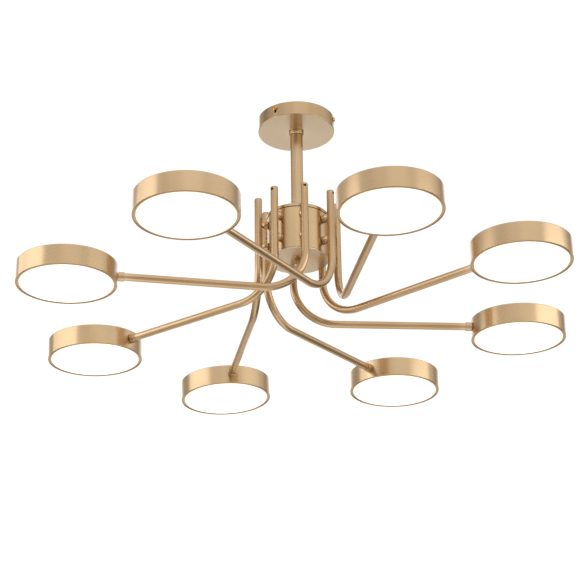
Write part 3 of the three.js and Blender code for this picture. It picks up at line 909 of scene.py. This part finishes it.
cap_outline = rounded(
    [
        (THREAD_R, cap_high.z),
        (HUB_CAP_R * 0.5, cap_high.z),
        (HUB_CAP_R, cap_high.z, 0.0012),
        (HUB_CAP_R, cap_high.z - CAP_H, 0.0007),
        (step_r, cap_high.z - CAP_H),
        (step_r, cap_low.z),
        (step_r - STEP_T, cap_low.z),
        (step_r - STEP_T, cap_high.z - PLATE_T),
        (THREAD_R, cap_high.z - PLATE_T),
    ]
)
piece("cap", finished(turned(cap_outline, FINE)), [satin_gold], "fixture", ["hub_cap"])

shell_outline = rounded(
    [
        (HUB_SHELL_R, shell_low.z, 0.0003),
        (HUB_SHELL_R, shell_high.z, 0.0004),
        (shell_inner, shell_high.z),
        (shell_inner, shell_low.z),
    ]
)
STUD_CUT = 0.003  # of a hole's cutter past both sides of the wall
stud_holes = []
for arm in arms:
    for z in stud_heights.values():
        spot = arm.turn @ Matrix.Translation((0, 0, z)) @ ALONG_X
        low, high = shell_inner - STUD_CUT, HUB_SHELL_R + STUD_CUT
        stud_holes.append(drum(STUD_HOLE_R, low, high, SHORT_SIDES, spot))
shell = finished(cut(turned(shell_outline, FINE), stud_holes))
# The shell takes the lighter gold, which is painted light.
piece("shell", shell, [brushed_painted_light_gold], "fixture", ["hub_shell"])

plate_outline = rounded(
    [
        (FINIAL_HOLE_R, plate_low.z),
        (HUB_SHELL_R * 0.35, plate_low.z),
        (HUB_SHELL_R * 0.7, plate_low.z),
        (HUB_SHELL_R, plate_low.z, 0.0006),
        (HUB_SHELL_R, plate_low.z + PLATE_T, 0.0003),
        (step_r, plate_low.z + PLATE_T),
        (step_r, plate_high.z),
        (step_r - STEP_T, plate_high.z),
        (step_r - STEP_T, plate_low.z + PLATE_T),
        (FINIAL_HOLE_R, plate_low.z + PLATE_T),
    ]
)
plate = finished(turned(plate_outline, FINE))
# The plate takes the paler gold, a painted reflection of the bright floor.
piece("bottom_plate", plate, [painted_reflection_gold], "fixture", ["hub_bottom_plate"])

finial_low, finial_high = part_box("finial")
ball_centre = finial_low.z + FINIAL_R
flange_z = plate_low.z - GAP
finial_corners = [
    (0, finial_high.z),
    (FINIAL_HOLE_R - GAP, finial_high.z, 0.0005),
    (FINIAL_HOLE_R - GAP, flange_z),
    (FINIAL_NECK_R + FLANGE_W, flange_z),
    (FINIAL_NECK_R + FLANGE_W, flange_z - FLANGE_T, 0.0003),
    (FINIAL_NECK_R, flange_z - FLANGE_T),
]
FIRST_LATITUDE = math.radians(58)
for i in range(BALL_STEPS + 1):
    latitude = FIRST_LATITUDE - (FIRST_LATITUDE + math.pi / 2) * i / BALL_STEPS
    r = max(FINIAL_R * math.cos(latitude), 0)
    finial_corners.append((r, ball_centre + FINIAL_R * math.sin(latitude)))
finial = finished(turned(rounded(finial_corners), BROAD), SHARP_DOME_DEGREES)
piece("ball_finial", finial, [satin_gold], "fixture", ["finial"])

# ---- Inner pieces keep their CAD shapes and take their own finishes ----

carried_over = {
    black_steel: ["ceiling_bracket"],
    zinc: ["rod_nipple", "canopy_nut", "hub_stem", "driver_plate"],
    white_plastic: ["terminal_block", "led_driver_1", "led_driver_2"],
    wire_sheath: ["supply_cable", "wiring_loom"],
    board: [f"led_board_{number}" for number in range(1, ARM_COUNT + 1)],
}
for material, names in carried_over.items():
    for name in names:
        materials = frame["nodes"][name].data.materials
        materials.clear()
        materials.append(material)

# ---- Studio: a pale floor under a soft white world ----

FLOOR_Z = -5.4  # low enough for a look from straight below
FLOOR_HALF = 30
BACKDROP_RADIANCE = 1.05


def floor_material():
    s = Shader("pale_floor")
    place = s.place()
    s.into("Base Color", s.mix(s.noise(place, 3, 2), rgb(246, 246, 246), rgb(242, 242, 242)))
    s.into("Roughness", 0.9)
    return s.material


bm = bmesh.new()
bmesh.ops.create_grid(bm, x_segments=8, y_segments=8, size=FLOOR_HALF)
floor_mesh = mesh_of(bm, Matrix.Translation((0, 0, FLOOR_Z)))
floor_mesh.materials.append(floor_material())
floor = bpy.data.objects.new("floor", floor_mesh)
bpy.context.scene.collection.objects.link(floor)
floor.visible_glossy = False
floor.visible_shadow = False

# Soft lobes of the world: azimuth from the front towards the right, elevation, half angle where it is full
# and half angle where it ends, in degrees, and radiance. The radiances here and of the side boxes started
# from a numeric fit by another program and were then scaled by hand, so they follow no simple pattern.
SOFT_LOBES = [
    (0, 25, 0, 40, 0.546),
    (30, 25, 0, 40, 0.511),
    (-30, 25, 0, 40, 0.372),
    (60, 25, 0, 40, 0.374),
    (-60, 25, 0, 40, 0.378),
    (90, 25, 0, 40, 0.457),
    (-90, 25, 0, 40, 0.274),
    (120, 25, 0, 40, 0.304),
    (-120, 25, 0, 40, 0.073),
    (150, 25, 0, 40, 0.079),
    (-150, 25, 0, 40, 0.445),
    (180, 25, 0, 40, 1.118),
    (0, -25, 0, 50, 0.146),
    (45, -25, 0, 50, 0.617),
    (-45, -25, 0, 50, 0.426),
    (90, -25, 0, 50, 0.354),
    (-90, -25, 0, 50, 0.428),
    (-135, -25, 0, 50, 0.125),
    (180, -25, 0, 50, 0.730),
    (0, -60, 5, 35, 0.095),
    (180, -60, 5, 35, 0.190),
    (-90, -60, 5, 35, 0.162),
    (0, -90, 0, 40, 1.067),
    (0, 90, 0, 60, 0.989),
]
# Large soft boxes beside the object: place, width and height in metres, radiance.
SIDE_BOXES = [
    ((-1.25, -0.15, -0.12), 1.5, 0.9, 1.130),
    ((-1.25, -0.15, -0.12), 0.8, 0.45, 0.061),
    ((1.7, -0.4, -0.12), 1.9, 1.0, 1.127),
]
OBJECT_MIDDLE = Vector((0, 0, -0.25))

for place, width, height, radiance in SIDE_BOXES:
    light = bpy.data.lights.new("side_box", "AREA")
    light.shape = "RECTANGLE"
    light.size = width
    light.size_y = height
    light.energy = radiance * math.pi * width * height
    box = bpy.data.objects.new("side_box", light)
    bpy.context.scene.collection.objects.link(box)
    towards = (OBJECT_MIDDLE - Vector(place)).to_track_quat("-Z", "Y").to_matrix().to_4x4()
    box.matrix_world = Matrix.Translation(place) @ towards
    box.visible_camera = False


def studio_world():
    """The lobes light the object, and the camera sees plain white behind it."""
    world = bpy.data.worlds.new("studio")
    tree = Tree(world)
    direction = tree.node("ShaderNodeTexCoord").outputs["Generated"]
    total = 0
    for azimuth, elevation, inner, outer, radiance in SOFT_LOBES:
        a = math.radians(azimuth)
        e = math.radians(elevation)
        towards = (math.sin(a) * math.cos(e), -math.cos(a) * math.cos(e), math.sin(e))
        dot = tree.node("ShaderNodeVectorMath", {0: direction, 1: towards}, operation="DOT_PRODUCT")
        edge = math.cos(math.radians(outer))
        core = math.cos(math.radians(inner))
        total = tree.math("ADD", tree.spread(dot.outputs["Value"], 0, radiance, edge, core), total)
    seen = tree.node("ShaderNodeLightPath").outputs["Is Camera Ray"]
    strength = tree.node("ShaderNodeMix", {0: seen, 2: total, 3: BACKDROP_RADIANCE}, data_type="FLOAT")
    background = tree.nodes["Background"]
    tree.set(background, "Strength", strength.outputs[0])
    tree.set(background, "Color", (1, 1, 1, 1))
    return world


scene = bpy.context.scene
scene.world = studio_world()
scene.view_settings.view_transform = "Standard"

# ---- Camera at the photograph's angle: low, looking up ----

CAMERA_PLACE = Vector((0, -2.5967, -1.5048))
PITCH = math.radians(25.37)
ROLL = math.radians(-0.9)
LENS_MM = 113.57
SENSOR_MM = 36
SHIFT_X = -0.00762
SHIFT_Y = -0.03493

forward = Vector((0, math.cos(PITCH), math.sin(PITCH)))
right = Vector((1, 0, 0))
up = right.cross(forward)
rolled_right = right * math.cos(ROLL) + up * math.sin(ROLL)
rolled_up = up * math.cos(ROLL) - right * math.sin(ROLL)
camera_data = bpy.data.cameras.new("camera")
camera_data.sensor_width = SENSOR_MM
camera_data.lens = LENS_MM
camera_data.shift_x = SHIFT_X
camera_data.shift_y = SHIFT_Y
camera_data.clip_start = 0.05
camera_data.clip_end = 100
camera = bpy.data.objects.new("camera", camera_data)
scene.collection.objects.link(camera)
camera.matrix_world = (
    Matrix.Translation(CAMERA_PLACE) @ Matrix((rolled_right, rolled_up, -forward)).transposed().to_4x4()
)
scene.camera = camera
